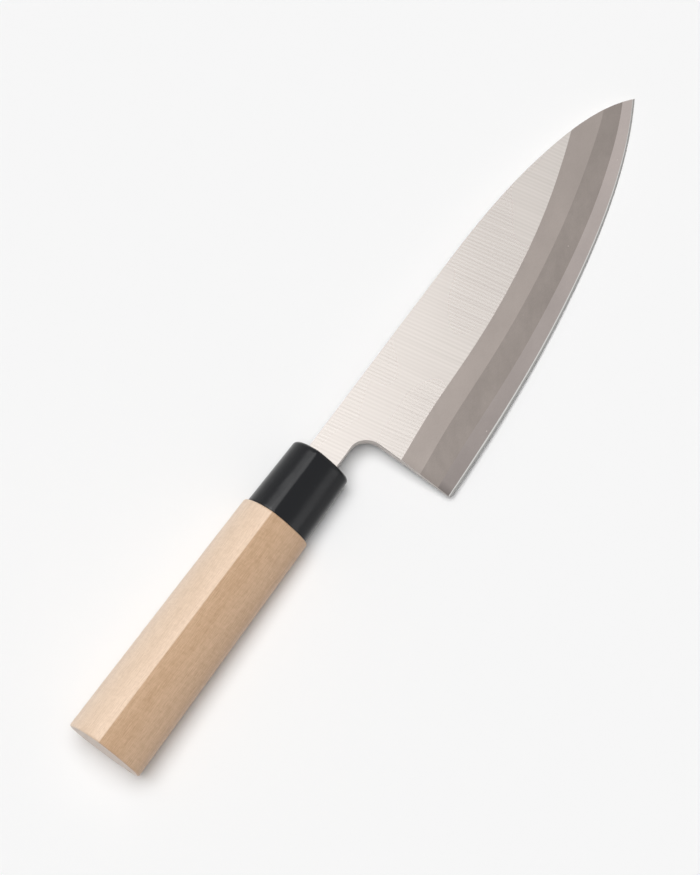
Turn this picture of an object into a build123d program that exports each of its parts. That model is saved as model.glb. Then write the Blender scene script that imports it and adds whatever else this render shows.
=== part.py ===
from build123d import *
import math
import os

# A right-handed deba: a thick single-bevel blade forge-welded from soft iron
# and hard steel, its tang bedded in a wooden handle with a moulded collar.
# It is drawn along its own axis first: X from the butt to the point, Y from
# the cutting edge to the back of the blade, Z out of the bevelled face.
# X is zero at the front of the collar, Y and Z are zero on the handle's axis.
# At the end every piece is laid down as the knife rests on a table.

# blade outline
blade_length = 150.0
blade_height = 47.0
neck_length = 15.0
neck_height = 11.2
back_over_axis = 5.7
point_drop = 16.9
straight_back_length = 64.0
choil_radius = 6.4
heel_corner_radius = 1.2

# blade thickness, from the hollow side up
back_thick = 5.2
back_thick_loss = 0.7
flat_fall = 0.95
edge_thick = 0.2

# the bevel at the heel, from the edge up: width and rise of each ground band
keen_band_width = 1.0
keen_band_rise = 0.36
low_band_width = 4.9
core_thick = 1.65
middle_band_width = 7.7
middle_band_rise = 1.45
upper_band_width = 7.7
upper_band_rise = 1.12

# hollow in the flat side and the rim left around it
hollow_depth = 0.35
hollow_rim = 2.2

# tang inside the handle
tang_length = 76.0
tang_step = 0.5
tang_end_height = 5.0
tang_end_thick = 2.6

# collar: its size at the front, and how much each side grows towards the grip
collar_length = 25.4
collar_wall = 2.0
collar_front_wall = 3.0
collar_half_height = 10.9
collar_depth = 9.0
collar_ridge_stand = 0.6
collar_ridge_radius = 3.2
collar_swell = 0.7
collar_rim_round = 1.4
slot_clearance = 0.15

# wooden grip: its size at the collar, and how much each side grows to the butt
grip_length = 93.0
grip_half_height = 12.7
grip_depth = 10.2
grip_ridge_stand = 0.8
grip_ridge_radius = 0.6
grip_swell = 1.15
grip_end_bevel = 0.5
ridge_offset = 1.3
facet_angle = 14.0
glue_gap = 0.1

# hole for the tang, filled with resin: its mouth, and how much each side draws in
hole_height = 13.0
hole_width = 7.8
hole_draw = 1.4
hole_past_tang = 4.0

# how the knife rests on a table: point down, edge down
rest_pitch = 1.96
rest_roll = 4.92

# how far cutting shapes run past what they cut
overrun = 5.0

heel_x = neck_length
point_x = heel_x + blade_length
edge_y = back_over_axis - blade_height
neck_y = back_over_axis - neck_height
edge_rise = blade_height - point_drop
side_z = -back_thick / 2
tang_x = -collar_front_wall
grip_x = -collar_length
butt_x = grip_x - grip_length

# The cutting edge, nearly straight at the heel and rising to the point.
edge_along_shares = (0.0, 0.28, 0.56, 0.74, 0.917, 1.0)
edge_rise_shares = (0.0, 0.083, 0.273, 0.476, 0.787, 1.0)
edge_points = [
    (heel_x + along * blade_length, edge_y + rise * edge_rise)
    for along, rise in zip(edge_along_shares, edge_rise_shares)
]
edge_curve = Spline(*edge_points)

# The back: straight, then falling ever faster to the point.
fall_x = heel_x + straight_back_length
fall_length = point_x - fall_x
back_along_shares = (0.0, 0.32, 0.66, 0.88, 1.0)
back_drop_shares = (0.0, 0.052, 0.305, 0.655, 1.0)
back_end_slope_share = 3.6
back_points = [
    (fall_x + along * fall_length, back_over_axis - drop * point_drop)
    for along, drop in zip(back_along_shares, back_drop_shares)
]
back_end_fall = back_end_slope_share * point_drop
back_curve = Spline(*back_points, tangents=[(fall_length, 0), (fall_length, -back_end_fall)])

hollow_along_shares = (0.0, 0.08, 0.35, 0.6, 0.8, 1.0)
hollow_depth_shares = (0.03, 1.0, 1.0, 0.9, 0.6, 0.05)
hollow_end_share = 0.9
core_start_share = 0.5
side_round_share = 0.72
side_drop_share = 0.16
hole_round_share = 0.4

# The grinding lines draw in towards the edge at both ends of the bevel.
station_shares = (0.0, 0.1, 0.3, 0.5, 0.7, 0.85, 1.0)
low_width_shares = (0.88, 1.0, 0.98, 0.93, 0.86, 0.80, 0.69)
middle_width_shares = (0.94, 0.98, 0.98, 0.94, 0.93, 0.87, 0.76)


def blade_plan():
    """The blade and its neck seen from the bevelled side."""
    lines = Polyline(
        (fall_x, back_over_axis),
        (tang_x, back_over_axis),
        (tang_x, neck_y),
        (heel_x, neck_y),
        (heel_x, edge_y),
    )
    plan = make_face([*lines.edges(), *edge_curve.edges(), *back_curve.edges()])
    choil = plan.vertices().sort_by_distance((heel_x, neck_y))[0]
    plan = fillet(choil, choil_radius)
    heel = plan.vertices().sort_by_distance((heel_x, edge_y))[0]
    return fillet(heel, heel_corner_radius)


def bevel_section(origin, along, low_share, middle_share):
    """Everything under the bevel, cut square to the cutting edge."""
    keen = keen_band_width * low_share
    low = keen + low_band_width * low_share
    middle = low + middle_band_width * middle_share
    middle_thick = core_thick + middle_band_rise
    far = blade_height + overrun
    points = [
        (far, -overrun),
        (-overrun * keen / keen_band_rise, edge_thick - overrun),
        (keen, edge_thick + keen_band_rise),
        (low, core_thick),
        (middle, middle_thick),
        (far, middle_thick + (far - middle) * upper_band_rise / upper_band_width),
    ]
    inward = (-along.Y, along.X, 0)
    square = Plane(origin=(origin.X, origin.Y, side_z), x_dir=inward, z_dir=along)
    return square * make_face(Polyline(*points, close=True))


def bevel_body():
    """The space under the ground bands, along the whole edge and past its ends."""
    heel, point = edge_curve @ 0, edge_curve @ 1
    first, last = edge_curve % 0, edge_curve % 1
    past_neck = neck_length + collar_front_wall + overrun
    shares = list(zip(low_width_shares, middle_width_shares))
    sections = [bevel_section(heel - first * past_neck, first, *shares[0])]
    for station, pair in zip(station_shares, shares):
        sections.append(bevel_section(edge_curve @ station, edge_curve % station, *pair))
    sections.append(bevel_section(point + last * overrun, last, *shares[-1]))
    return loft(sections)


def flat_plane():
    """The flat above the bevel, thinner towards the point and towards the edge."""
    flat_width = blade_height - keen_band_width - low_band_width
    flat_width -= middle_band_width + upper_band_width
    along = Vector(blade_length, 0, -back_thick_loss)
    across = Vector(0, flat_width, flat_fall)
    corner = (heel_x, back_over_axis, side_z + back_thick)
    return Plane(origin=corner, x_dir=along, z_dir=along.cross(across))


def height_at(curve, x):
    """Where a curve drawn from the heel to the point crosses x."""
    low, high = 0.0, 1.0
    for _ in range(40):
        middle = (low + high) / 2
        if (curve @ middle).X < x:
            low = middle
        else:
            high = middle
    return (curve @ low).Y


def hollow():
    """The shallow ground hollow: arcs across the blade that thin out at both ends."""
    first_x = heel_x + hollow_rim
    last_x = point_x - hollow_end_share * point_drop
    sections = []
    for along, deep in zip(hollow_along_shares, hollow_depth_shares):
        x = first_x + along * (last_x - first_x)
        top = height_at(back_curve, x) if x > fall_x else back_over_axis
        high, low = top - hollow_rim, height_at(edge_curve, x) + hollow_rim
        depth = deep * hollow_depth
        arc = ThreePointArc((low, 0), ((low + high) / 2, depth), (high, 0))
        skirt = Polyline((high, 0), (high, -overrun), (low, -overrun), (low, 0))
        square = Plane(origin=(x, 0, side_z), x_dir=(0, 1, 0), z_dir=(1, 0, 0))
        sections.append(square * make_face([*arc.edges(), *skirt.edges()]))
    return loft(sections)


def box_between(low, high):
    """A box from one corner to the opposite one."""
    size = [top - bottom for bottom, top in zip(low, high)]
    return Pos(*low) * Box(*size, align=(Align.MIN, Align.MIN, Align.MIN))


def tang():
    """The tang, tapering in height and thickness from behind the collar's front."""
    middle_y = (back_over_axis + neck_y) / 2
    start = Rectangle(neck_height - 2 * tang_step, back_thick - 2 * tang_step)
    end = Rectangle(tang_end_height, tang_end_thick)
    sections = []
    for x, shape in ((tang_x, start), (-tang_length, end)):
        square = Plane(origin=(x, middle_y, 0), x_dir=(0, 1, 0), z_dir=(1, 0, 0))
        sections.append(square * shape)
    return loft(sections, ruled=True)


def handle_plane(x):
    """The plane across the handle at x, its own X towards the back of the blade."""
    return Plane(origin=(x, 0, 0), x_dir=(0, 1, 0), z_dir=(1, 0, 0))


def touching_point(foot, outward, middle, radius):
    """Where an arc that leaves a foot square to outward runs into a circle."""
    apart = foot - middle
    arc_radius = (apart.dot(apart) - radius**2) / (2 * (apart.dot(outward) - radius))
    arc_middle = foot - outward * arc_radius
    return arc_middle + (middle - arc_middle).normalized() * arc_radius


def chestnut(half_height, depth, ridge_stand, ridge_radius):
    """A handle section in arcs: an oval with one soft ridge on the bevelled side.

    It is widest a little under its middle, so the underside is flatter than the top.
    """
    side_radius = side_round_share * depth
    widest_y = -side_drop_share * depth
    turn = math.radians(facet_angle)
    top, bottom = Vector(ridge_offset, depth + ridge_stand), Vector(0, -depth)
    ridge_middle = top - Vector(0, ridge_radius)
    arcs, feet, floors = [], [], []
    for side in (-1, 1):
        middle = Vector(side * (half_height - side_radius), widest_y)
        outward = Vector(side * math.sin(turn), math.cos(turn))
        foot = ridge_middle + outward * ridge_radius
        shoulder = touching_point(foot, outward, middle, side_radius)
        floor = touching_point(bottom, Vector(0, -1), middle, side_radius)
        downhill = (side * math.cos(turn), -math.sin(turn))
        arcs.append(TangentArc(foot, shoulder, tangent=downhill))
        arcs.append(ThreePointArc(shoulder, (side * half_height, widest_y), floor))
        feet.append(foot)
        floors.append(floor)
    arcs.append(ThreePointArc(feet[0], top, feet[1]))
    arcs.append(ThreePointArc(floors[0], bottom, floors[1]))
    return make_face([edge for arc in arcs for edge in arc.edges()])


def swelled(section, front_x, back_x, swell):
    """A handle piece from its front section back, each side growing by the swell."""
    length = front_x - back_x
    grow_angle = math.degrees(math.atan(swell / length))
    return extrude(handle_plane(front_x) * section, amount=-length, taper=-grow_angle)


def collar_core(front_x, inset):
    """The inside of the collar from front_x back, inset from its outside."""
    grown = collar_swell * -front_x / collar_length
    section = offset(collar_outline, amount=grown - inset)
    return swelled(section, front_x, grip_x, collar_swell - grown)


# Blade: the plan cut down to the bevel and to the flat, then hollowed.
plan = Pos(0, 0, side_z) * blade_plan()
blade = extrude(plan, amount=back_thick + overrun)
blade = blade & bevel_body()
blade = split(blade, bisect_by=flat_plane(), keep=Keep.BOTTOM)
blade = blade - hollow()

# The hard steel backs the whole blade and ends inside the neck.
core_x = core_start_share * neck_length
core_room = box_between(
    (core_x, edge_y - overrun, side_z - overrun),
    (point_x + overrun, back_over_axis + overrun, side_z + core_thick),
)
core_steel = blade & core_room
blade_cladding = blade - core_room + tang()

# Collar: a cap with a front wall, slotted for the neck.
collar_outline = chestnut(
    collar_half_height, collar_depth, collar_ridge_stand, collar_ridge_radius
)
collar_outer = swelled(collar_outline, 0, grip_x, collar_swell)
front_rim = collar_outer.faces().sort_by(Axis.X)[-1].edges()
collar_outer = fillet(front_rim, collar_rim_round)
slot = box_between(
    (tang_x - overrun, neck_y - slot_clearance, side_z - slot_clearance),
    (overrun, back_over_axis + slot_clearance, side_z + back_thick + 2 * slot_clearance),
)
collar = collar_outer - collar_core(tang_x, collar_wall) - slot

# Grip: the bare wood behind the collar and the tenon inside it.
grip_outline = chestnut(grip_half_height, grip_depth, grip_ridge_stand, grip_ridge_radius)
grip = swelled(grip_outline, grip_x, butt_x, grip_swell)
grip_ends = grip.faces().sort_by(Axis.X)
end_rims = grip_ends[0].edges() + grip_ends[-1].edges()
grip = chamfer(end_rims, grip_end_bevel)
tenon_x = tang_x - glue_gap
grip += collar_core(tenon_x, collar_wall + glue_gap)

# The hole takes the tang with room for resin all round.
hole_mouth = RectangleRounded(hole_height, hole_width, hole_round_share * hole_width)
hole = swelled(hole_mouth, tenon_x, -tang_length - hole_past_tang, -hole_draw)
handle_grip = grip - hole
tang_bedding = hole - blade_cladding

# Laid down at rest, the middle of the footprint on the origin.
pieces = {
    "blade_cladding": blade_cladding,
    "core_steel": core_steel,
    "ferrule": collar,
    "handle_grip": handle_grip,
    "tang_bedding": tang_bedding,
}
lay = Rot(0, rest_pitch, 0) * Rot(rest_roll, 0, 0)
box = Compound([lay * Part(piece.wrapped) for piece in pieces.values()]).bounding_box()
place = Pos(-box.center().X, -box.center().Y, -box.min.Z) * lay

os.makedirs("parts", exist_ok=True)
for name, piece in pieces.items():
    solid = place * Part(piece.wrapped)
    export_step(solid, f"parts/{name}.step")
    print(name, round(solid.volume, 1), solid.is_valid, len(solid.solids()))
print("place", place)
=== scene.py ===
import math
import bmesh
import bpy
import numpy as np
from mathutils import Matrix, Quaternion, Vector


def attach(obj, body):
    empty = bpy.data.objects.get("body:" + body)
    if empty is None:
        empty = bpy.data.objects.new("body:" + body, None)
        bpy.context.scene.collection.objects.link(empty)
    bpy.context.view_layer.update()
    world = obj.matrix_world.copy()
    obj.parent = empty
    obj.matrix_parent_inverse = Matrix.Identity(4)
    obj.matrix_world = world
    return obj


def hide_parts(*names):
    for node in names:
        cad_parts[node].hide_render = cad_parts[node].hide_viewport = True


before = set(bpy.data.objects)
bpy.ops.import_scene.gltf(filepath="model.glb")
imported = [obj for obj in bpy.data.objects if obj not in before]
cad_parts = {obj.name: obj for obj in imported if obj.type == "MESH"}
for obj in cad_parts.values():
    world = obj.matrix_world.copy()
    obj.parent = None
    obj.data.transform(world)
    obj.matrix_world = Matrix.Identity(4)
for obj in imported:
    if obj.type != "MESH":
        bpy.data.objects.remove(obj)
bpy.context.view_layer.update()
print("frame loaded:", sorted(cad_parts))

# A deba knife lying on a pale table. Shapes are worked out in the knife's own
# frame, in millimetres: x runs from the butt to the point with zero at the
# front of the collar, y towards the back of the blade and z out of the
# bevelled face, both with zero on the handle's axis. laid() then puts them
# down as the knife rests.

lie = dict(
    pitch=1.96,  # point down, degrees
    roll=4.92,  # edge down, degrees
    shift=(-23.0429, 13.4691, 9.34928),  # knife frame to the middle of the footprint
)
turned = (Matrix.Rotation(math.radians(lie["pitch"]), 3, "Y")
          @ Matrix.Rotation(math.radians(lie["roll"]), 3, "X"))


def laid(points):
    # place = pitch turn times roll turn times point, plus the shift, in metres
    return (points @ np.array(turned).T + np.array(lie["shift"])) / 1000


# Shared geometry helpers.


def endSlope(knots, values):
    # slope, at the first knot, of the cubic through the first four values
    powers = np.vander(knots[:4] - knots[0], 4, increasing=True)
    return np.linalg.solve(powers, values[:4])[1]


def smoothCurve(knots, values, headings=()):
    # Cubic through every value, its slope and bend continuous at the knots. The end
    # slopes are those of the cubics through the four nearest values, turned to the
    # headings where these are given.
    knots = np.asarray(knots, float)
    values = np.asarray(values, float).reshape(len(knots), -1)
    count = len(knots)
    gap = np.diff(knots)[:, None]
    rise = np.diff(values, axis=0) / gap
    system = np.eye(count)
    wanted = np.zeros_like(values)
    inner = np.arange(1, count - 1)
    system[inner, inner - 1] = 1 / gap[:-1, 0]
    system[inner, inner] = 2 / gap[:-1, 0] + 2 / gap[1:, 0]
    system[inner, inner + 1] = 1 / gap[1:, 0]
    wanted[inner] = 3 * rise[:-1] / gap[:-1] + 3 * rise[1:] / gap[1:]
    wanted[0] = endSlope(knots, values)
    wanted[-1] = endSlope(knots[::-1], values[::-1])
    for end, heading in zip((0, -1), headings):
        wanted[end] = heading / np.linalg.norm(heading) * np.linalg.norm(wanted[end])
    slopes = np.linalg.solve(system, wanted)

    def at(where):
        where = np.asarray(where, float)
        span = np.clip(np.searchsorted(knots, where, side="right") - 1, 0, count - 2)
        width = gap[span, 0][..., None]
        t = ((where - knots[span])[..., None]) / width
        low, high = values[span], values[span + 1]
        lowSlope, highSlope = slopes[span] * width, slopes[span + 1] * width
        return (
            low * (1 + 2 * t) * (1 - t) ** 2
            + lowSlope * t * (1 - t) ** 2
            + high * t**2 * (3 - 2 * t)
            + highSlope * t**2 * (t - 1)
        )

    return at


def chordKnots(points):
    # running length of the chords between the points
    return np.concatenate([[0], np.cumsum(np.hypot(*np.diff(points, axis=0).T))])


def bisect(miss, low, high, rounds=40):
    # halves the span between low and high until miss(value) changes sign there
    for _ in range(rounds):
        middle = (low + high) / 2
        under = miss(middle) < 0
        low = np.where(under, middle, low)
        high = np.where(under, high, middle)
    return (low + high) / 2


seam = dict(
    weld=2e-6,  # metres, under which two corners become one
    emptyFace=1e-14,  # square metres
)


def stitch(name, patches, finishes, node):
    # Joins grids of points into one closed mesh that stands for a CAD node. A patch is a
    # grid, its marks (the piece's own coordinates), a group and a finish. Corners that
    # fall together become one vertex, edges between different groups stay crisp.
    mesh = bpy.data.meshes.new(name)
    points, corners, marks, groups, slots = [], [], [], [], []
    start = 0
    for grid, mark, group, finishName in patches:
        rows, columns = grid.shape[:2]
        index = start + np.arange(rows * columns).reshape(rows, columns)
        quads = np.stack([index[:-1, :-1], index[1:, :-1], index[1:, 1:], index[:-1, 1:]], -1)
        quads = quads.reshape(-1, 4)
        points.append(laid(grid.reshape(-1, 3)))
        marks.append(mark.reshape(-1, 2))
        corners.append(quads)
        groups.append(np.full(len(quads), group, np.int32))
        slots.append(np.full(len(quads), list(finishes).index(finishName), np.int32))
        start += rows * columns
    marks, corners = np.concatenate(marks), np.concatenate(corners)
    mesh.from_pydata(np.concatenate(points).tolist(), [], corners.tolist())
    layer = mesh.uv_layers.new(name="along")
    layer.data.foreach_set("uv", marks[corners.reshape(-1)].reshape(-1).astype(np.float32))
    mesh.polygons.foreach_set("material_index", np.concatenate(slots))
    groupLayer = mesh.attributes.new("group", "INT", "FACE")
    groupLayer.data.foreach_set("value", np.concatenate(groups))
    built = bmesh.new()
    built.from_mesh(mesh)
    bmesh.ops.remove_doubles(built, verts=built.verts, dist=seam["weld"])
    flat = [face for face in built.faces if face.calc_area() < seam["emptyFace"]]
    bmesh.ops.delete(built, geom=flat, context="FACES_ONLY")
    bmesh.ops.delete(built, geom=[e for e in built.edges if not e.link_faces], context="EDGES")
    bmesh.ops.delete(built, geom=[v for v in built.verts if not v.link_faces], context="VERTS")
    bmesh.ops.recalc_face_normals(built, faces=built.faces)
    groupOf = built.faces.layers.int["group"]
    for edge in built.edges:
        met = {face[groupOf] for face in edge.link_faces}
        edge.smooth = len(met) == 1
    openEdges = sum(1 for edge in built.edges if len(edge.link_faces) != 2)
    built.to_mesh(mesh)
    built.free()
    mesh.attributes.remove(mesh.attributes["group"])
    mesh.polygons.foreach_set("use_smooth", np.ones(len(mesh.polygons), bool))
    for material in finishes.values():
        mesh.materials.append(material)
    mesh.update()
    piece = bpy.data.objects.new(name, mesh)
    bpy.context.scene.collection.objects.link(piece)
    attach(piece, "root")
    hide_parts(node)
    print("built", name, len(mesh.polygons), "faces, open edges", openEdges)


# Finishes. Every cell, pitch and depth is a size in millimetres.

noiseSpan = (0.3, 0.7)  # where nearly all of a noise lies


def adder(tree):
    # a function that adds a node to the tree, sets its values and links outputs into its
    # sockets, which are given by name, or by n and their number
    def add(kind, settings=(), **sockets):
        made = tree.nodes.new("ShaderNode" + kind)
        for key, value in dict(settings).items():
            setattr(made, key, value)
        for key, value in sockets.items():
            numbered = key[0] == "n" and key[1:].isdigit()
            socket = made.inputs[int(key[1:]) if numbered else key.replace("_", " ")]
            if hasattr(value, "is_output"):
                tree.links.new(value, socket)
            else:
                socket.default_value = value
        return made

    return add


def newFinish(name, colour, rough, metal=0.0, gloss=0.5):
    # a material, a function that adds nodes to it and one that feeds its shader
    material = bpy.data.materials.new(name)
    material.use_nodes = True
    tree = material.node_tree
    shader = tree.nodes["Principled BSDF"]
    shader.inputs["Base Color"].default_value = (*colour, 1)
    shader.inputs["Roughness"].default_value = rough
    shader.inputs["Metallic"].default_value = metal
    shader.inputs["Specular IOR Level"].default_value = gloss

    def join(output, socketName):
        tree.links.new(output, shader.inputs[socketName])

    return material, adder(tree), join


def knifeMap(add, cell, turn=0.0, shift=(0, 0, 0)):
    # object coordinates in the knife's own frame, moved by the shift, turned about z by
    # the turn in degrees, and one unit long for each cell
    axes = turned @ Matrix.Rotation(math.radians(turn), 3, "Z")
    middle = (Vector(lie["shift"]) + turned @ Vector(shift)) / 1000
    coords = add("TexCoord").outputs["Object"]
    mapping = add("Mapping", {"vector_type": "TEXTURE"}, Vector=coords, Location=middle,
                  Rotation=axes.to_euler(), Scale=[c / 1000 for c in cell])
    return mapping.outputs[0]


def alongMap(add, cell):
    # the piece's own coordinates: millimetres along the edge and away from it, over the cell
    coords = add("UVMap", {"uv_map": "along"}).outputs[0]
    return add("Mapping", Vector=coords, Scale=[1 / cell[0], 1 / cell[1], 1]).outputs[0]


def shaded(colour, factor):
    # colour times factor, one at most
    return tuple(min(c * factor, 1) for c in colour)


def mixed(add, share, low, high):
    # from low to high by a share, each of them a colour or a node's output
    ends = [(*end, 1) if isinstance(end, tuple) else end for end in (low, high)]
    return add("Mix", {"data_type": "RGBA"}, n0=share, n6=ends[0], n7=ends[1]).outputs[2]


def spread(add, value, fromLow, fromHigh, toLow, toHigh):
    # the value carried from one range to another and held at its ends
    made = add("MapRange", Value=value, From_Min=fromLow, From_Max=fromHigh, To_Min=toLow, To_Max=toHigh)
    return made.outputs[0]


def summed(add, first, second, weight):
    # first + weight * second
    return add("Math", {"operation": "MULTIPLY_ADD"}, n0=second, n1=weight, n2=first).outputs[0]


def blended(add, *parts):
    # the sum of each value times its weight
    total = 0.0
    for value, weight in parts:
        total = summed(add, total, value, weight)
    return total


def times(add, first, second):
    # first * second
    return add("Math", {"operation": "MULTIPLY"}, n0=first, n1=second).outputs[0]


def sine(add, value, pitch=1.0):
    # sin(2 pi value / pitch)
    return add("Math", {"operation": "SINE"}, n0=times(add, value, 2 * math.pi / pitch)).outputs[0]


def noise(add, vector, detail=2.0, rough=0.5, scale=1.0):
    # smooth noise from 0 to 1, mostly near the middle
    return add("TexNoise", Vector=vector, Scale=scale, Detail=detail, Roughness=rough).outputs[0]


def cellDistance(add, cell, turn=0.0):
    # distance to the nearest of scattered points, one to a cell
    return add("TexVoronoi", Vector=knifeMap(add, cell, turn), Scale=1.0).outputs["Distance"]


def bumped(add, join, height, strength, depth):
    # relief from a height, its full depth in millimetres
    join(add("Bump", Strength=strength, Distance=depth / 1000, Height=height).outputs[0], "Normal")


flatGrind = dict(
    dark=(0.415, 0.383, 0.360),
    light=(0.490, 0.457, 0.431),
    tones=(0.05, 0.95),  # tone at which it is dark and light
    rough=0.27,
    roughSway=0.01,
    lean=12.0,  # degrees the grinding lines lean towards the point
    pitch=1.25,  # mm from line to line
    wander=1.5,  # pitches
    cells=dict(wander=(12, 60, 60), fine=(0.8, 70, 70), loose=(1.6, 70, 70), slow=(40, 26, 30)),
    weights=dict(fine=0.5, lines=0.22, loose=0.2, slow=0.3),
)


def groundFlat():
    # Even ground lines across the blade, sin(2 pi (x / pitch + wander)), over fine
    # streaks and a slow change of tone that also sways the roughness.
    values, cells, weights = flatGrind, flatGrind["cells"], flatGrind["weights"]
    lean, rough, sway = values["lean"], values["rough"], values["roughSway"]
    material, add, join = newFinish("groundFlat", values["light"], rough, 1.0)
    place = add("SeparateXYZ", Vector=knifeMap(add, (values["pitch"], 60, 60), lean)).outputs[0]
    wander = noise(add, knifeMap(add, cells["wander"], lean), 1.0)
    lines = sine(add, summed(add, place, wander, values["wander"]))
    fine = noise(add, knifeMap(add, cells["fine"], lean, (3, 0, 0)), 0.0)
    loose = noise(add, knifeMap(add, cells["loose"], lean, (1, 2, 0)), 0.0)
    slow = noise(add, knifeMap(add, cells["slow"], 0, (0, 7, 0)), 1.0)
    tone = blended(add, (fine, weights["fine"]), (lines, weights["lines"]),
                   (loose, weights["loose"]), (slow, weights["slow"]))
    share = spread(add, tone, *values["tones"], 0, 1)
    join(mixed(add, share, values["dark"], values["light"]), "Base Color")
    join(spread(add, slow, *noiseSpan, rough - sway, rough + sway), "Roughness")
    return material


# For each bevel band: its colour at mid-length, the painted reflection's climb of its
# tone from heel to point, and how far clouds, smudges and the painted heel shade show.
bevelGrind = dict(
    upper=dict(colour=(0.335, 0.295, 0.272), reflectionClimb=-0.10, rough=0.42, cloud=0.04, smudge=0.25, heel=0.12),
    lower=dict(colour=(0.289, 0.254, 0.233), reflectionClimb=-0.04, rough=0.42, cloud=0.056, smudge=0.7, heel=0.12),
    steel=dict(colour=(0.392, 0.346, 0.328), reflectionClimb=0.48, rough=0.36, cloud=0.04, smudge=0.25, heel=0.7),
)
bevelMarks = dict(
    cells=dict(grain=(1.6, 0.12), speck=(0.25, 0.25, 0.25), patch=(16, 9, 9), smudge=(4.5, 2.6, 4)),
    weights=dict(grain=1.0, speck=0.8, patch=0.9),
    contrast=0.45,  # half the range of tone from dark to light
    # painted shade at the heel: its tone, and how far it reaches
    heel=dict(tone=0.35, reach=0.022),  # reach as a part of the blade's length
    nick=dict(cell=(9, 7, 9), size=(0.02, 0.035), tone=1.7, share=0.7),
    relief=dict(strength=0.08, depth=0.02),
)


def groundBevel(name, band):
    # A satin face with fine scratches along the edge, faint cloudy patches and a few
    # bright nicks. A painted reflection makes its tone climb along the edge, colour (1 +
    # climb (share - 1/2)), and a painted shade darkens the last few millimetres at the heel.
    values, cells, weights = bevelGrind[band], bevelMarks["cells"], bevelMarks["weights"]
    colour, reflectionClimb, cloud, rough = (values[key] for key in ("colour", "reflectionClimb", "cloud", "rough"))
    material, add, join = newFinish(name, colour, rough, 1.0)
    along = add("SeparateXYZ", Vector=alongMap(add, (blade["length"], blade["length"]))).outputs[0]
    grain = noise(add, alongMap(add, cells["grain"]), 2.0)
    speck = noise(add, knifeMap(add, cells["speck"]), 2.0)
    patch = noise(add, knifeMap(add, cells["patch"], 20), 3.0, 0.55)
    smudge = noise(add, knifeMap(add, cells["smudge"], 35, (2, 1, 0)), 3.0, 0.6)
    tone = blended(add, (grain, weights["grain"]), (speck, weights["speck"]),
                   (patch, weights["patch"]), (smudge, values["smudge"]))
    middle = (sum(weights.values()) + values["smudge"]) / 2
    tones = middle - bevelMarks["contrast"], middle + bevelMarks["contrast"]
    share = spread(add, tone, *tones, 0, 1)
    ends = []
    # painted reflection: the tone at the heel and at the point, mixed along the edge
    for lift in (1 - reflectionClimb / 2, 1 + reflectionClimb / 2):
        low, high = (shaded(colour, (1 + sign * 2 * cloud) * lift) for sign in (-1, 1))
        ends.append(mixed(add, share, low, high))
    whole = mixed(add, along, *ends)
    heel, nick, relief = bevelMarks["heel"], bevelMarks["nick"], bevelMarks["relief"]
    # painted shade: darker over the last few millimetres at the heel
    heelShade = spread(add, along, 0.0, heel["reach"], values["heel"], 0)
    whole = mixed(add, heelShade, whole, shaded(colour, heel["tone"]))
    nicked = spread(add, cellDistance(add, nick["cell"], 15), *nick["size"], nick["share"], 0)
    join(mixed(add, nicked, whole, shaded(colour, nick["tone"])), "Base Color")
    join(spread(add, tone, *tones, rough - 0.04, rough + 0.05), "Roughness")
    bumped(add, join, grain, **relief)
    return material


edgeGrind = dict(
    keen=dict(paintedHighlight=(0.68, 0.67, 0.65), paintedEdgeShade=(0.35, 0.345, 0.335), rough=0.28, line=(0.55, 0.75)),
    wall=dict(colour=(0.47, 0.43, 0.40), rough=0.40, cell=(3.0, 0.15)),
    hollow=dict(colour=(0.46, 0.435, 0.42), rough=0.33, cell=(0.5, 12.0)),
    shades=(0.86, 1.1),
)


def groundKeen():
    # the honed strip: painted shade darkens it at the edge itself, and a painted highlight line runs where
    # it meets the bevel
    values = edgeGrind["keen"]
    material, add, join = newFinish("keenStrip", values["paintedHighlight"], values["rough"], 1.0)
    across = add("SeparateXYZ", Vector=alongMap(add, (blade["keenWidth"], blade["keenWidth"]))).outputs[1]
    grain = noise(add, alongMap(add, (2.5, 0.4)), 2.0)
    # painted highlight towards the bevel, painted shade towards the edge
    line = spread(add, summed(add, across, grain, 0.15), *values["line"], 0, 1)
    join(mixed(add, line, values["paintedEdgeShade"], values["paintedHighlight"]), "Base Color")
    join(spread(add, grain, *noiseSpan, values["rough"] - 0.03, values["rough"] + 0.05), "Roughness")
    bumped(add, join, grain, 0.1, 0.02)
    return material


def groundEdge(name, part):
    # bright ground walls: scratches run along the piece's own first direction
    values, (low, high) = edgeGrind[part], edgeGrind["shades"]
    colour, rough = values["colour"], values["rough"]
    material, add, join = newFinish(name, colour, rough, 1.0)
    grain = noise(add, alongMap(add, values["cell"]), 3.0, 0.6)
    slow = noise(add, knifeMap(add, (14, 14, 14)), 2.0)
    share = spread(add, summed(add, grain, slow, 0.5), 0.45, 1.05, 0, 1)
    join(mixed(add, share, shaded(colour, low), shaded(colour, high)), "Base Color")
    join(spread(add, grain, *noiseSpan, rough - 0.05, rough + 0.07), "Roughness")
    bumped(add, join, grain, 0.15, 0.03)
    return material


plastic = dict(
    colour=(0.002, 0.0025, 0.004), rough=0.20, gloss=0.28,
    dust=dict(tone=(0.10, 0.10, 0.105), cell=(1.7, 1.7, 1.7), size=(0.035, 0.07), chosen=(0.56, 0.6)),
    haze=(9, 5, 5), wave=(5, 2.5, 2.5),
)


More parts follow.
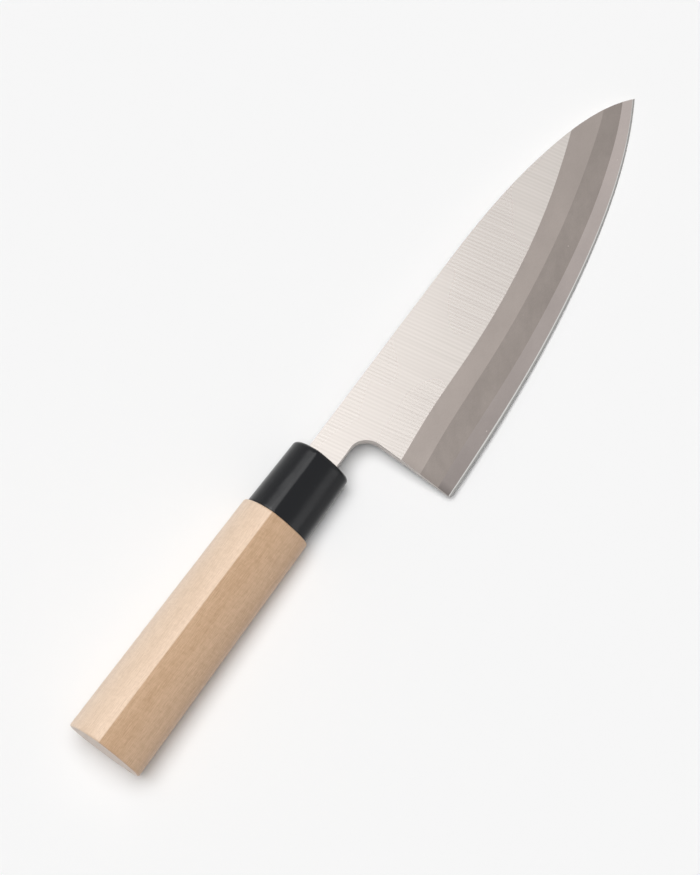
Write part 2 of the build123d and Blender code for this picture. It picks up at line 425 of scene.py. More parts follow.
def mouldedPlastic():
    # black glossy plastic with a faint wave, slight haze and a few dust specks
    dust, rough = plastic["dust"], plastic["rough"]
    material, add, join = newFinish("mouldedPlastic", plastic["colour"], rough, 0, plastic["gloss"])
    haze = noise(add, knifeMap(add, plastic["haze"]), 2.0)
    chosen = noise(add, knifeMap(add, (1.1, 1.3, 1.2), 0, (5, 2, 1)), 0.0)
    near = spread(add, cellDistance(add, dust["cell"]), *dust["size"], 1, 0)
    speck = times(add, near, spread(add, chosen, *dust["chosen"], 0, 1))
    join(mixed(add, speck, plastic["colour"], dust["tone"]), "Base Color")
    dull = summed(add, haze, speck, 2.0)
    join(spread(add, dull, 0.3, 0.8, rough - 0.02, rough + 0.05), "Roughness")
    bumped(add, join, noise(add, knifeMap(add, plastic["wave"]), 1.0), 0.10, 0.4)
    return material


wood = dict(
    # the back's flank is painted paler as a painted sheen; the edge's flank is the wood's own tone
    backFlankPaintedSheen=dict(deep=(0.78, 0.590, 0.435), pale=(0.93, 0.735, 0.570)),
    edgeFlank=dict(deep=(0.48, 0.300, 0.170), pale=(0.63, 0.420, 0.265)),
    endGrain=dict(deep=(0.67, 0.555, 0.480), pale=(0.79, 0.685, 0.610)),
    line=(0.40, 0.225, 0.11),
    rough=0.45,
    ring=2.6,  # mm between growth lines
    ringAxis=(0, -24, -31),
    ridge=1.3,  # mm, where the flanks meet
    cells=dict(
        wander=(60, 9, 9), fibre=(5, 0.2, 0.2), hair=(1.5, 0.12, 0.12), broad=(50, 4, 4),
        pores=(1.3, 0.13, 0.13), curl=(0.9, 3.5, 3.5), dots=(3, 0.22, 0.22), cloud=(8, 5, 5)),
    weights=dict(hair=0.6, broad=0.3, rings=0.02, curl=0.35),
)


def paleWood():
    # Fine straight grain along the handle from stretched noise, growth rings round an
    # axis far below it, short dark pores, and a faint curl. The back's flank is painted
    # paler above the widest line, most towards the back: a painted sheen.
    cells, weights, rough = wood["cells"], wood["weights"], wood["rough"]
    material, add, join = newFinish("paleWood", wood["backFlankPaintedSheen"]["pale"], rough, 0, 0.8)
    wander = noise(add, knifeMap(add, cells["wander"]), 2.0)
    _, y, z = add("SeparateXYZ", Vector=knifeMap(add, (1, 1, 1), 0, wood["ringAxis"])).outputs
    radius = add("Math", {"operation": "SQRT"}, n0=summed(add, times(add, y, y), z, z)).outputs[0]
    rings = sine(add, summed(add, radius, wander, 3.0), wood["ring"])
    fibre = noise(add, knifeMap(add, cells["fibre"]), 2.0, 0.6)
    hair = noise(add, knifeMap(add, cells["hair"], 0, (1, 3, 7)), 1.0)
    broad = noise(add, knifeMap(add, cells["broad"], 0, (9, 1, 2)), 2.0)
    pores = noise(add, knifeMap(add, cells["pores"], 0, (2, 5, 3)), 1.0)
    curl = noise(add, knifeMap(add, cells["curl"], 12, (4, 4, 1)), 2.0)
    tone = blended(add, (fibre, 1.0), (hair, weights["hair"]), (broad, weights["broad"]),
                   (rings, weights["rings"]), (curl, weights["curl"]))
    share = spread(add, tone, 0.92, 1.33, 0, 1)
    _, y, z = add("SeparateXYZ", Vector=knifeMap(add, (1, 1, 1), 0, (0, wood["ridge"], 0))).outputs
    # painted sheen: the share by which the back's flank is painted paler, growing towards the back, weaker
    # below the widest line
    backSheen = times(add, spread(add, y, -0.2, 0.2, 0, 1), spread(add, y, 0, 11, 0.55, 1))
    side = times(add, backSheen, spread(add, z, -7.0, -1.0, 0.4, 1))
    flanks = [mixed(add, share, wood[key]["deep"], wood[key]["pale"]) for key in ("edgeFlank", "backFlankPaintedSheen")]
    colour = mixed(add, side, *flanks)
    join(mixed(add, spread(add, pores, 0.64, 0.76, 0, 0.3), colour, wood["line"]), "Base Color")
    join(spread(add, fibre, *noiseSpan, rough - 0.05, rough + 0.07), "Roughness")
    bumped(add, join, summed(add, fibre, pores, -0.6), 0.22, 0.06)
    return material


def sawnEnd():
    # the butt's end grain: small open pores as dots, and rings round the far axis
    ring, tones, rough = wood["ring"], wood["endGrain"], wood["rough"]
    material, add, join = newFinish("sawnEnd", tones["pale"], rough + 0.12, 0, 0.5)
    dots = noise(add, knifeMap(add, wood["cells"]["dots"]), 2.0, 0.6)
    cloud = noise(add, knifeMap(add, wood["cells"]["cloud"], 0, (3, 3, 3)), 2.0)
    place = knifeMap(add, (1000, ring, ring), 0, wood["ringAxis"])  # x hardly counts
    away = add("VectorMath", {"operation": "LENGTH"}, n0=place).outputs["Value"]
    rings = sine(add, summed(add, away, cloud, 1.0))
    tone = blended(add, (dots, 1.0), (rings, 0.06), (cloud, 0.3))
    join(mixed(add, spread(add, tone, 0.45, 0.9, 0, 1), tones["deep"], tones["pale"]), "Base Color")
    join(spread(add, dots, *noiseSpan, rough + 0.08, rough + 0.18), "Roughness")
    bumped(add, join, dots, 0.2, 0.05)
    return material


resin = dict(deep=(0.30, 0.18, 0.06), pale=(0.46, 0.30, 0.12), rough=0.3, cell=(2, 2, 2))


def curedResin():
    # amber resin with small bubbles, hidden round the tang
    material, add, join = newFinish("curedResin", resin["pale"], resin["rough"])
    bubbles = cellDistance(add, resin["cell"])
    join(mixed(add, spread(add, bubbles, 0.1, 0.5, 0, 1), resin["deep"], resin["pale"]), "Base Color")
    join(spread(add, bubbles, 0.0, 0.6, 0.22, 0.4), "Roughness")
    return material


print("finishes ready")

# The blade, in millimetres. Alongs, rises, drops, shares and depths in rows of numbers
# are parts of one.

blade = dict(
    length=150.0, height=47.0, neck=15.0, neckHeight=11.2, backOverAxis=5.7,
    pointDrop=16.9, straightBack=64.0, choil=6.4, heelRound=1.2,
    thick=5.2, thickLoss=0.7, flatFall=0.95, edgeThick=0.2,
    keenWidth=1.0, keenRise=0.36, lowWidth=4.9, coreThick=1.65,
    middleWidth=7.7, middleRise=1.45, upperWidth=7.7, upperRise=1.12,
    hollowDepth=0.35, hollowRim=2.2, hollowEnd=0.9, behindFront=3.0,
    edgeAlong=(0.0, 0.28, 0.56, 0.74, 0.917, 1.0),
    edgeRise=(0.0, 0.083, 0.273, 0.476, 0.787, 1.0),
    backAlong=(0.0, 0.32, 0.66, 0.88, 1.0),
    backDrop=(0.0, 0.052, 0.305, 0.655, 1.0),
    backEndSlope=3.6,
    # widths of the bands at stations along the edge
    stations=(-0.147, 0.0, 0.1, 0.3, 0.5, 0.7, 0.85, 1.0, 1.032),
    lowShares=(0.88, 0.88, 1.0, 0.98, 0.93, 0.86, 0.80, 0.69, 0.69),
    middleShares=(0.94, 0.94, 0.98, 0.98, 0.94, 0.93, 0.87, 0.76, 0.76),
    hollowAlong=(0.0, 0.08, 0.35, 0.6, 0.8, 1.0),
    hollowDeep=(0.03, 1.0, 1.0, 0.9, 0.6, 0.05),
    tangLength=76.0, tangRing=45.0, tangStep=0.5, tangEndHeight=5.0, tangEndThick=2.6,
)
fineness = dict(
    alongSteps=420, bandSteps=(3, 6, 8, 8, 8, 20), neckSteps=(12, 3, 26),
    crowding=1.35,  # columns draw together towards the point
    heelReach=0.3,  # share of the columns that bend to the heel's back end
    heelSearch=0.08,  # share of the edge in which each row's start lies
    reachRoom=20.0,  # mm past the height in which the back is looked for
    edgeDots=3001, backDots=4001,
)
back = blade["backOverAxis"]
heelX = blade["neck"]
pointX = heelX + blade["length"]
edgeY = back - blade["height"]
neckY = back - blade["neckHeight"]
underZ = -blade["thick"] / 2
layerZ = underZ + blade["coreThick"]
coreX = heelX / 2
fallX = heelX + blade["straightBack"]
flatWidth = (blade["height"] - blade["keenWidth"] - blade["lowWidth"]
             - blade["middleWidth"] - blade["upperWidth"])

edgeDots = np.stack([heelX + np.array(blade["edgeAlong"]) * blade["length"],
                     edgeY + np.array(blade["edgeRise"]) * (blade["height"] - blade["pointDrop"])], -1)
edgeKnots = chordKnots(edgeDots)
edgeCurve = smoothCurve(edgeKnots, edgeDots)
edgeFine = np.linspace(0, edgeKnots[-1], fineness["edgeDots"])
edgeTable = edgeCurve(edgeFine)
edgeLengths = chordKnots(edgeTable)
edgeLength = edgeLengths[-1]

# The falling part of the back: level at its start, falling by the end slope at the point.
backDots = np.stack([fallX + np.array(blade["backAlong"]) * (pointX - fallX),
                     back - np.array(blade["backDrop"]) * blade["pointDrop"]], -1)
backKnots = chordKnots(backDots)
backHeadings = np.array([[1.0, 0.0], [pointX - fallX, -blade["backEndSlope"] * blade["pointDrop"]]])
backCurve = smoothCurve(backKnots, backDots, backHeadings)
backTable = backCurve(np.linspace(0, backKnots[-1], fineness["backDots"]))

lowShare = smoothCurve(blade["stations"], blade["lowShares"])
middleShare = smoothCurve(blade["stations"], blade["middleShares"])


def backHeight(x):
    # y of the back over x, level before it falls
    return np.interp(x, backTable[:, 0], backTable[:, 1])


def edgeHeight(x):
    # y of the edge over x
    return np.interp(x, edgeTable[:, 0], edgeTable[:, 1])


def edgeFrame(share):
    # point on the edge at a share of its length, and the direction square to it, inwards
    last = edgeKnots[-1]
    where = np.interp(share * edgeLength, edgeLengths, edgeFine)
    step = last * 1e-4
    ahead = edgeCurve(np.clip(where + step, 0, last)) - edgeCurve(np.clip(where - step, 0, last))
    ahead = ahead / np.linalg.norm(ahead, axis=-1, keepdims=True)
    return edgeCurve(where), np.stack([-ahead[..., 1], ahead[..., 0]], -1)


def flatHeight(x, y):
    # the plane of the flat: thinner towards the point and towards the edge
    return (underZ + blade["thick"] - blade["thickLoss"] * (x - heelX) / blade["length"]
            + blade["flatFall"] * (y - back) / flatWidth)


def bandWidths(share):
    # distance from the edge to the keen line, the layer line and the band line
    low, middle = lowShare(share)[..., 0], middleShare(share)[..., 0]
    keen = blade["keenWidth"] * low
    layer = keen + blade["lowWidth"] * low
    return keen, layer, layer + blade["middleWidth"] * middle


def lineWidths(share):
    # Distance from the edge to each line: edge, keen, layer, band, upper, choil level and
    # back. The upper line is where the rising bevel meets the plane of the flat.
    point, inward = edgeFrame(share)
    keen, layer, band = bandWidths(share)
    slope = blade["upperRise"] / blade["upperWidth"]
    bandZ = layerZ + blade["middleRise"]
    atEdge = flatHeight(point[..., 0], point[..., 1])
    perWidth = flatHeight(point[..., 0] + inward[..., 0], point[..., 1] + inward[..., 1]) - atEdge
    upper = (bandZ - slope * band - atEdge) / (perWidth - slope)
    reach = bisect(
        lambda w: point[..., 1] + inward[..., 1] * w - backHeight(point[..., 0] + inward[..., 0] * w),
        np.zeros_like(keen), np.full_like(keen, blade["height"] + fineness["reachRoom"]))
    choilShare = (neckY - blade["choil"] - (back - flatWidth)) / flatWidth
    choil = upper + (reach - upper) * choilShare
    widths = np.stack([np.zeros_like(keen), keen, layer, band, upper, choil, reach])
    return point, inward, np.minimum(widths, reach)


def bladePoints(place, share):
    # x and y on the ray square to the edge, at a place from 0 at the edge to 6 at the
    # back, and the height of the bevel or the flat there, whichever is lower
    point, inward, widths = lineWidths(share)
    whole = np.clip(np.floor(place).astype(int), 0, 5)
    low = np.take_along_axis(widths, whole[None], 0)[0]
    high = np.take_along_axis(widths, whole[None] + 1, 0)[0]
    width = low + (place - whole) * (high - low)
    x = point[..., 0] + inward[..., 0] * width
    y = point[..., 1] + inward[..., 1] * width
    keen, layer, band = bandWidths(share)
    coreRise = blade["coreThick"] - blade["edgeThick"] - blade["keenRise"]
    z = underZ + blade["edgeThick"]
    z = z + np.clip(width / keen, 0, 1) * blade["keenRise"]
    z = z + np.clip((width - keen) / (layer - keen), 0, 1) * coreRise
    z = z + np.clip((width - layer) / (band - layer), 0, 1) * blade["middleRise"]
    z = z + np.maximum(width - band, 0) * blade["upperRise"] / blade["upperWidth"]
    return x, y, np.minimum(z, flatHeight(x, y)), width


def heelLine(y):
    # x of the heel's straight back end at y. Its corner is a small round,
    # x = middle - sqrt(radius^2 - drop^2).
    radius = blade["heelRound"]
    middle = edgeHeight(heelX + radius) + radius
    drop = np.clip(middle - y, 0, radius)
    return heelX + radius - np.sqrt(radius**2 - drop**2)


def bladeGrid():
    # all rows from the edge to the back, each starting on the heel's back end
    places = [np.linspace(k, k + 1, n, endpoint=False) for k, n in enumerate(fineness["bandSteps"])]
    places = np.concatenate(places + [[6.0]])

    def startMiss(share):
        x, y, _, _ = bladePoints(places, share)
        return x - heelLine(y)

    start = bisect(startMiss, np.zeros_like(places), np.full_like(places, fineness["heelSearch"]))
    steps = np.linspace(0, 1, fineness["alongSteps"])
    along = 1 - (1 - steps) ** fineness["crowding"]
    blend = np.clip(1 - along / fineness["heelReach"], 0, 1) ** 2
    shares = np.clip(along[None] + start[:, None] * blend[None], 0, 1)
    x, y, z, width = bladePoints(np.broadcast_to(places[:, None], shares.shape), shares)
    return places, x, y, z, shares * edgeLength, width


def hollowHeight(x, y):
    # Underside: a shallow bow across the blade, depth 4 a (1 - a), between two lines that
    # run inside the outline, its depth rising from the neck and falling to the point.
    firstX = heelX + blade["hollowRim"]
    lastX = pointX - blade["hollowEnd"] * blade["pointDrop"]
    along = (x - firstX) / (lastX - firstX)
    deep = np.interp(along, blade["hollowAlong"], blade["hollowDeep"], left=0, right=0)
    high = backHeight(x) - blade["hollowRim"]
    low = edgeHeight(x) + blade["hollowRim"]
    across = np.clip((y - low) / np.maximum(high - low, 1e-6), 0, 1)
    return underZ + deep * blade["hollowDepth"] * 4 * across * (1 - across)


def grid3(x, y, z):
    # points from three grids or numbers
    return np.stack(np.broadcast_arrays(x, y, z), -1).astype(float)


places, gx, gy, gz, gAlong, gWidth = bladeGrid()
row = [int(np.argmin(abs(places - k))) for k in range(7)]
print("blade grid", gx.shape)


def neckGrid():
    # columns from inside the collar to the heel's line, rows from the choil's end to the back
    insideSteps, straightSteps, turnSteps = fineness["neckSteps"]
    inside = np.linspace(-blade["behindFront"], coreX, insideSteps)
    straight = np.linspace(coreX, heelX - blade["choil"], straightSteps)[1:]
    turn = np.linspace(0, math.pi / 2, turnSteps)[1:]
    endY = gy[row[5], 0]
    arcX = heelX - blade["choil"] + blade["choil"] * np.sin(turn)
    arcY = neckY - (neckY - endY) * (1 - np.cos(turn))
    x = np.concatenate([inside, straight, arcX])
    low = np.concatenate([np.full(len(inside) + len(straight), neckY), arcY])
    rows = (gy[row[5]:, 0] - endY) / (gy[-1, 0] - endY)
    y = low[None] + (back - low)[None] * rows[:, None]
    x = np.broadcast_to(x[None], y.shape).copy()
    x[:, -1], y[:, -1] = gx[row[5]:, 0], gy[row[5]:, 0]
    return x, y, flatHeight(x, y), len(inside) - 1


nx, ny, nz, coreColumn = neckGrid()


def runMarks(grid):
    # length along the strip and height across it
    step = np.linalg.norm(np.diff(grid[0], axis=0), axis=-1)
    run = np.concatenate([[0], np.cumsum(step)])
    rise = np.linalg.norm(grid - grid[:1], axis=-1)
    return np.stack([np.broadcast_to(run, rise.shape), rise], -1)


def wallPatch(x, y, low, high, group):
    # a wall between two heights over a line of points
    wall = grid3(x, y, np.stack(np.broadcast_arrays(low, high, x)[:2]))
    return wall, runMarks(wall), group, "groundWall"


def flatPatch(x, y, z, group, finishName):
    # a grid marked with its own x and y
    return grid3(x, y, z), np.stack([x, y], -1), group, finishName


def bandPatch(z, first, last, group, finishName):
    # the blade's rows from one line to another, marked with the length along the edge
    # and the distance from it
    part = slice(row[first], row[last] + 1)
    marks = np.stack([gAlong[part], gWidth[part]], -1)
    return grid3(gx[part], gy[part], z[part]), marks, group, finishName


def drawnIn(ring):
    # a ring with every point moved to its middle
    return ring * [1, 0, 0] + ring.mean(0) * [0, 1, 1]


def tangLoop(x, startLoop):
    # the outline of the neck's end drawn in to the tang's rectangle at x
    share = (-blade["behindFront"] - x) / (blade["tangLength"] - blade["behindFront"])
    startHeight = blade["neckHeight"] - 2 * blade["tangStep"]
    startThick = blade["thick"] - 2 * blade["tangStep"]
    high = startHeight + share * (blade["tangEndHeight"] - startHeight)
    thick = startThick + share * (blade["tangEndThick"] - startThick)
    middle = (back + neckY) / 2
    y = middle + (startLoop[:, 1] - middle) * high / blade["neckHeight"]
    top = flatHeight(-blade["behindFront"], startLoop[:, 1])
    rise = np.clip((startLoop[:, 2] - underZ) / (top - underZ), 0, 1)
    return grid3(x, y, (rise - 0.5) * thick)


def claddingPatches():
    # flat, neck and the two upper bevel bands over the layer line, with walls and tang
    top, cut = np.maximum(gz, layerZ), coreColumn
    flat, over, heel = slice(row[4], None), slice(row[2], None), slice(row[2], row[5] + 1)
    inX, inY = nx[:, :cut + 1], ny[:, :cut + 1]
    patches = [
        flatPatch(gx[flat], gy[flat], top[flat], 0, "groundFlat"),
        flatPatch(nx, ny, nz, 0, "groundFlat"),
        bandPatch(top, 3, 4, 1, "bevelUpper"),
        bandPatch(top, 2, 3, 2, "bevelLower"),
        # underside on the layer line, the neck's own underside and the step between them
        flatPatch(gx[over], gy[over], layerZ, 3, "groundWall"),
        flatPatch(nx[:, cut:], ny[:, cut:], layerZ, 3, "groundWall"),
        flatPatch(inX, inY, underZ, 4, "groundWall"),
        wallPatch(nx[:, cut], ny[:, cut], underZ, layerZ, 5),
        # back of the blade, back of the neck, under the neck with the choil, heel
        wallPatch(gx[-1], gy[-1], layerZ, top[-1], 6),
        wallPatch(nx[-1], ny[-1], layerZ, nz[-1], 6),
        wallPatch(nx[0], ny[0], layerZ, nz[0], 6),
        wallPatch(gx[heel, 0], gy[heel, 0], layerZ, top[heel, 0], 6),
        wallPatch(inX[0], inY[0], underZ, layerZ, 6),
        wallPatch(inX[-1], inY[-1], underZ, layerZ, 6),
    ]
    # the end of the neck draws in to the tang
    x, y, z = nx[:, 0], ny[:, 0], nz[:, 0]
    lowSide, highSide = (np.array([[x[0], y[end], layerZ]]) for end in (-1, 0))
    loop = np.concatenate([
        grid3(x, y, z), lowSide, grid3(x, y, underZ)[::-1], highSide, grid3(x[:1], y[:1], z[:1])])
    depths = blade["behindFront"], blade["tangRing"], blade["tangLength"]
    rings = [loop] + [tangLoop(-depth, loop) for depth in depths]
    rings.append(drawnIn(rings[-1]))
    for group, pair in zip((7, 8, 8, 9), zip(rings, rings[1:])):
        strip = np.stack(pair)
        patches.append((strip, runMarks(strip), group, "groundWall"))
    return patches


def corePatches():
    # the keen strip and the lowest bevel band, the face on the layer line, the hollow
    # underside and the walls
    under, top = hollowHeight(gx, gy), np.minimum(gz, layerZ)
    over, heel = slice(row[2], None), slice(0, row[5] + 1)
    cx, cy = nx[:, coreColumn:], ny[:, coreColumn:]
    return [
        bandPatch(top, 0, 1, 0, "keenStrip"),
        bandPatch(top, 1, 2, 1, "bevelSteel"),
        flatPatch(gx[over], gy[over], top[over], 2, "groundWall"),
        flatPatch(cx, cy, layerZ, 2, "groundWall"),
        flatPatch(gx, gy, under, 3, "hollowBack"),
        flatPatch(cx, cy, underZ, 3, "hollowBack"),
        wallPatch(gx[0], gy[0], under[0], top[0], 4),
        wallPatch(gx[-1], gy[-1], under[-1], top[-1], 4),
        wallPatch(cx[-1], cy[-1], underZ, layerZ, 4),
        wallPatch(cx[0], cy[0], underZ, layerZ, 4),
        wallPatch(cx[:, 0], cy[:, 0], underZ, layerZ, 4),
        wallPatch(gx[heel, 0], gy[heel, 0], under[heel, 0], top[heel, 0], 4),
    ]


wallFinish = groundEdge("groundWall", "wall")
claddingFinishes = {
    "groundFlat": groundFlat(),
    "bevelUpper": groundBevel("bevelUpper", "upper"),
    "bevelLower": groundBevel("bevelLower", "lower"),
    "groundWall": wallFinish,
}
coreFinishes = {
    "keenStrip": groundKeen(),
    "bevelSteel": groundBevel("bevelSteel", "steel"),
    "hollowBack": groundEdge("hollowBack", "hollow"),
    "groundWall": wallFinish,
}
stitch("bladeIron", claddingPatches(), claddingFinishes, "blade_cladding")
stitch("bladeSteel", corePatches(), coreFinishes, "core_steel")


# The handle: a black collar and a wooden grip, both with the same kind of section, in
# millimetres. Growth is how far a section stands out all round from the front section.

handle = dict(ridgeOffset=1.3, facetAngle=14.0, sideRound=0.72, sideDrop=0.16, steps=(56, 18, 30, 8))
collarSize = dict(
    length=25.4, wall=2.0, frontWall=3.0, halfHeight=10.9, depth=9.0, ridgeStand=0.6,
    ridgeRadius=3.2, swell=0.7, rimRound=1.4, slotClearance=0.15, backRound=0.15,
    backMargin=1.0, rimMargin=0.5, steps=dict(back=4, side=26, rim=12, face=8, inside=12),
)
gripSize = dict(
    length=93.0, halfHeight=12.7, depth=10.2, ridgeStand=0.8, ridgeRadius=0.6, swell=1.15,
    endRound=0.7, glueGap=0.1, hole=(13.0, 7.8), holeDraw=1.4, holeEnd=-80.0, holeRound=0.4,
    endMargin=2.0, steps=dict(rim=8, side=64, butt=14, tenon=10),
)
gripX = -collarSize["length"]
buttX = gripX - gripSize["length"]


def touching(foot, outward, middle, radius):
    # The circle that leaves a foot square to outward and runs into a second circle:
    # its radius is (d.d - r r) / (2 (d.n - r)), with d from that circle's middle to the foot.
    apart = foot - middle
    arcRadius = (apart @ apart - radius**2) / (2 * (apart @ outward - radius))
    arcMiddle = foot - outward * arcRadius
    toward = middle - arcMiddle
    return arcMiddle, arcRadius, math.atan2(toward[1], toward[0])


def chestnut(size, growth):
    # Closed outlines of y and z, one row for each growth: points at middle + (radius +
    # growth) (cos, sin) along six arcs. It starts at the edge side's foot, runs under
    # the handle, up the back's side, over the ridge and down again.
    side = handle["sideRound"] * size["depth"]
    turn = math.radians(handle["facetAngle"])
    half = math.pi / 2
    right = np.array([size["halfHeight"] - side, -handle["sideDrop"] * size["depth"]])
    left = right * [-1, 1]
    ridge = np.array([handle["ridgeOffset"], size["depth"] + size["ridgeStand"] - size["ridgeRadius"]])
    bottom = np.array([0.0, -size["depth"]])
    floorMiddle, floorRadius, floorRight = touching(bottom, np.array([0.0, -1.0]), right, side)
    flanks = []
    for sign, middle in ((1, right), (-1, left)):
        outward = np.array([sign * math.sin(turn), math.cos(turn)])
        flanks.append(touching(ridge + outward * size["ridgeRadius"], outward, middle, side))
    (rightMiddle, rightRadius, rightEnd), (leftMiddle, leftRadius, leftEnd) = flanks
    floorCount, sideCount, flankCount, ridgeCount = handle["steps"]
    arcs = [
        (floorMiddle, floorRadius, -math.pi - floorRight, floorRight, floorCount),
        (right, side, floorRight, rightEnd, sideCount),
        (rightMiddle, rightRadius, rightEnd, half - turn, flankCount),
        (ridge, size["ridgeRadius"], half - turn, half + turn, ridgeCount),
        (leftMiddle, leftRadius, half + turn, leftEnd, flankCount),
        (left, side, leftEnd, math.pi - floorRight, sideCount),
    ]
    growth = np.asarray(growth, float).reshape(-1, 1, 1)
    rows = []
    for middle, radius, start, stop, count in arcs:
        angle = np.linspace(start, stop, count, endpoint=False)
        rows.append(middle + (radius + growth) * np.stack([np.cos(angle), np.sin(angle)], -1))
    return np.concatenate(rows, 1)


def grownBy(size, frontX, x):
    # the side's growth at x: the swell times the part of the length behind the front
    return size["swell"] * (frontX - np.asarray(x, float)) / size["length"]


def endRow(size, frontX, endX, radius, sign, count):
    # Where a side runs into an end face through a quarter round: x and growth along the
    # circle, from the side to the face. The round's middle lies one radius from both.
    lean = math.atan(size["swell"] / size["length"])
    middle = endX - sign * radius
    grown = grownBy(size, frontX, middle) - radius / math.cos(lean)
    swing = np.linspace(sign * lean, math.pi / 2, count)
    return middle + sign * radius * np.sin(swing), grown + radius * np.cos(swing)


def raised(x, outline):
    # outline rows of y and z at each x
    x = np.asarray(x, float).reshape(-1, 1)
    return np.concatenate([np.broadcast_to(x[..., None], outline.shape[:2] + (1,)), outline], -1)


def rectangleRow(like, low, high, corner=0.0):
    # the rectangle's points in the same directions from its middle as another outline's
    low, high = np.array(low), np.array(high)
    middle, half = (low + high) / 2, (high - low) / 2
    angle = np.arctan2(like[:, 1] - middle[1], like[:, 0] - middle[0])
    away = np.stack([np.cos(angle), np.sin(angle)], -1)
    spot = middle + away * (half / np.maximum(abs(away), 1e-9)).min(-1)[:, None]
    for side in ((-1, -1), (1, -1), (1, 1), (-1, 1)):
        point = half * side
        gap = np.angle(np.exp(1j * (angle - math.atan2(point[1], point[0]))))
        spot[np.argmin(abs(gap))] = middle + point
    if corner:
        inner = middle + np.clip(spot - middle, -(half - corner), half - corner)
        out = spot - inner
        size = np.linalg.norm(out, axis=-1, keepdims=True)
        spot = inner + out / np.maximum(size, 1e-9) * np.minimum(size, corner)
    return spot


def closedRound(parts, finishName):
    # repeats each grid's first column so that the surface closes round the handle
    closed = [(np.concatenate([grid, grid[:, :1]], 1), group) for grid, group in parts]
    return [(grid, runMarks(grid), group, finishName) for grid, group in closed]


def collarPatches():
    # outside with its rounded front rim, front wall down to the slot, slot, inside, back
    size, steps = collarSize, collarSize["steps"]
    backX, backGrown = endRow(size, 0, gripX, size["backRound"], -1, steps["back"])
    rimX, rimGrown = endRow(size, 0, 0, size["rimRound"], 1, steps["rim"])
    straight = np.linspace(gripX + size["backMargin"], -size["rimRound"] - size["rimMargin"], steps["side"])
    outX = np.concatenate([backX[::-1], straight, rimX])
    grown = np.concatenate([backGrown[::-1], grownBy(size, 0, straight), rimGrown])
    outside = raised(outX, chestnut(size, grown))
    clear = size["slotClearance"]
    low = (neckY - clear, underZ - clear)
    high = (back + clear, underZ + blade["thick"] + 2 * clear)
    slotRow = rectangleRow(outside[-1][:, 1:], low, high)
    share = np.linspace(0, 1, steps["face"])[:, None, None]
    face = outside[-1][None, :, 1:] * (1 - share) + slotRow[None] * share
    frontFace = raised(np.zeros(steps["face"]), face)
    slotWall = raised([0, -size["frontWall"]], np.stack([slotRow, slotRow]))
    inX = np.linspace(-size["frontWall"], gripX, steps["inside"])
    inside = raised(inX, chestnut(size, grownBy(size, 0, inX) - size["wall"]))
    behind = np.stack([slotWall[-1], inside[0]])
    backRim = np.stack([inside[-1], outside[0]])
    parts = [(outside, 0), (frontFace, 0), (slotWall, 1), (behind, 2), (inside, 3), (backRim, 4)]
    return closedRound(parts, "mouldedPlastic")


def gripPatches():
    # butt face from its middle, rounded rim, side, shoulder, tenon, and the tang's hole
    size, steps = gripSize, gripSize["steps"]
    buttRim = endRow(size, gripX, buttX, size["endRound"], -1, steps["rim"])
    frontRim = endRow(size, gripX, gripX, size["endRound"], 1, steps["rim"])
    straight = np.linspace(buttX + size["endMargin"], gripX - size["endMargin"], steps["side"])
    sideX = np.concatenate([buttRim[0][::-1], straight, frontRim[0]])
    grown = np.concatenate([buttRim[1][::-1], grownBy(size, gripX, straight), frontRim[1]])
    side = raised(sideX, chestnut(size, grown))
    middle = side[0].mean(0)
    butt = middle + (side[0][None] - middle) * np.linspace(0, 1, steps["butt"])[:, None, None]
    inset = collarSize["wall"] + size["glueGap"]
    tenonEnd = -collarSize["frontWall"] - size["glueGap"]
    tenonX = np.linspace(gripX, tenonEnd, steps["tenon"])
    tenon = raised(tenonX, chestnut(collarSize, grownBy(collarSize, 0, tenonX) - inset))
    shoulder = np.stack([side[-1], side[-1] * 0.5 + tenon[0] * 0.5, tenon[0]])
    mouthHalf = np.array(size["hole"]) / 2
    holeRows = []
    for x, draw in ((tenonEnd, 0.0), (size["holeEnd"], size["holeDraw"])):
        corner = size["holeRound"] * size["hole"][1] - draw
        spots = rectangleRow(tenon[-1][:, 1:], draw - mouthHalf, mouthHalf - draw, corner)
        holeRows.append(raised([x], spots[None])[0])
    hole = np.stack(holeRows)
    mouth = np.stack([tenon[-1], hole[0]])
    floor = np.stack([hole[-1], drawnIn(hole[-1])])
    parts = [(side, 0), (shoulder, 0), (tenon, 1), (mouth, 2), (hole, 3), (floor, 4)]
    return closedRound([(butt, 0)], "sawnEnd") + closedRound(parts, "paleWood")


stitch("moulded_collar", collarPatches(), {"mouldedPlastic": mouldedPlastic()}, "ferrule")
gripFinishes = {"paleWood": paleWood(), "sawnEnd": sawnEnd()}
stitch("wooden_grip", gripPatches(), gripFinishes, "handle_grip")
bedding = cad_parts["tang_bedding"]
bedding.data.materials.clear()
bedding.data.materials.append(curedResin())

# Table, light and camera. A lamp's share is the part of the table's light it gives, its
# spread is in degrees, and lean is how far it stands off the vertical along x and y. Only
# the top lamp shapes the forms, the others show in the gloss alone.

studio = dict(
    white=(0.930, 0.930, 0.930),
    dome=0.18,  # the room's own share
    top=dict(share=0.82, spread=48.0, lean=(0.0, 0.08), forms=True, gloss=False),
    key=dict(share=0.34, spread=44.0, lean=(0.02, 0.29), forms=False, gloss=True),
    side=dict(share=0.16, spread=36.0, lean=(0.0, 0.90), forms=False, gloss=True),
    far=dict(share=0.013, spread=30.0, lean=(0.3, -5.0), forms=False, gloss=True),
    tableSize=6.0,
    speck=dict(scale=400.0, tone=0.998),
)


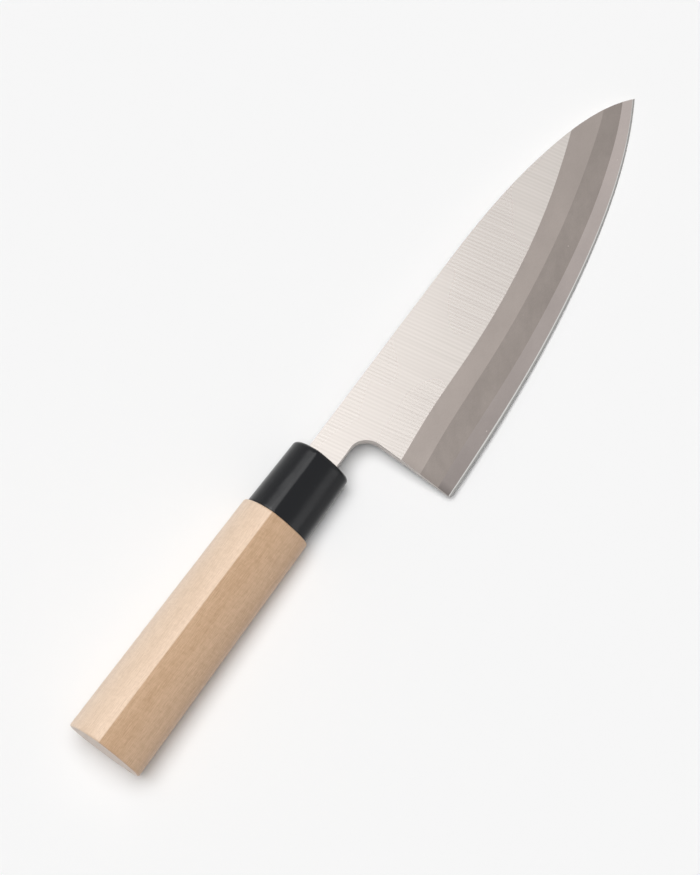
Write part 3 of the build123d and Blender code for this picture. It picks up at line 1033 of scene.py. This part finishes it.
def paleTable():
    # a wide white sheet with an even, hardly visible speckle
    white, speck = studio["white"], studio["speck"]
    material, add, join = newFinish("paleTable", white, 0.9, 0, 0.0)
    grain = noise(add, add("TexCoord").outputs["Object"], 2.0, 0.5, speck["scale"])
    share = spread(add, grain, *noiseSpan, 0, 1)
    join(mixed(add, share, shaded(white, speck["tone"]), white), "Base Color")
    mesh = bpy.data.meshes.new("table")
    half = studio["tableSize"] / 2
    corners = [(-half, -half, 0), (half, -half, 0), (half, half, 0), (-half, half, 0)]
    mesh.from_pydata(corners, [], [(0, 1, 2, 3)])
    mesh.materials.append(material)
    table = bpy.data.objects.new("table", mesh)
    bpy.context.scene.collection.objects.link(table)


def softLamp(name, lamp):
    # a broad distant lamp: strength = pi share / the upward part of its direction
    toward = Vector((*lamp["lean"], 1.0)).normalized()
    data = bpy.data.lights.new(name, "SUN")
    data.energy = math.pi * lamp["share"] / toward.z
    data.angle = math.radians(lamp["spread"])
    holder = bpy.data.objects.new(name, data)
    holder.rotation_euler = (-toward).to_track_quat("-Z", "Y").to_euler()
    holder.visible_diffuse, holder.visible_glossy = lamp["forms"], lamp["gloss"]
    bpy.context.scene.collection.objects.link(holder)


def studioLight():
    # the lamps, and a room that looks white and lights the forms by the dome's share
    for name in ("top", "key", "side", "far"):
        softLamp(name, studio[name])
    world = bpy.data.worlds.new("room")
    bpy.context.scene.world = world
    world.use_nodes = True
    world.node_tree.nodes.clear()
    add = adder(world.node_tree)
    path = add("LightPath").outputs
    seen = add("Math", {"operation": "ADD"}, n0=path["Is Camera Ray"], n1=path["Is Glossy Ray"]).outputs[0]
    seen = add("Math", {"operation": "ADD", "use_clamp": True}, n0=seen, n1=path["Is Transmission Ray"])
    light = add("Background", Color=(1, 1, 1, 1), Strength=studio["dome"])
    white = add("Background", Color=(*studio["white"], 1), Strength=1.0)
    room = add("MixShader", n0=seen.outputs[0], n1=light.outputs[0], n2=white.outputs[0])
    add("OutputWorld", n0=room.outputs[0])


view = dict(
    place=(-0.18959955, -0.19375868, 0.97728564),
    aim=(-0.01155445, 0.01041962, 0.00869347),
    roll=-13.542,  # degrees, the picture turned clockwise
    lens=126.0787,
    sensor=36.0,
    clip=(0.01, 20.0),
)


def pictureCamera():
    # the photograph's view, from its place towards its aim, then rolled
    camera = bpy.data.cameras.new("camera")
    camera.lens, camera.sensor_width, camera.sensor_fit = view["lens"], view["sensor"], "AUTO"
    camera.clip_start, camera.clip_end = view["clip"]
    holder = bpy.data.objects.new("camera", camera)
    holder.rotation_mode = "QUATERNION"
    holder.location = view["place"]
    look = (Vector(view["aim"]) - Vector(view["place"])).to_track_quat("-Z", "Y")
    holder.rotation_quaternion = look @ Quaternion((0, 0, 1), math.radians(view["roll"]))
    bpy.context.scene.collection.objects.link(holder)
    bpy.context.scene.camera = holder


paleTable()
studioLight()
pictureCamera()
bpy.context.scene.view_settings.view_transform = "Standard"
print("table, light and camera ready")
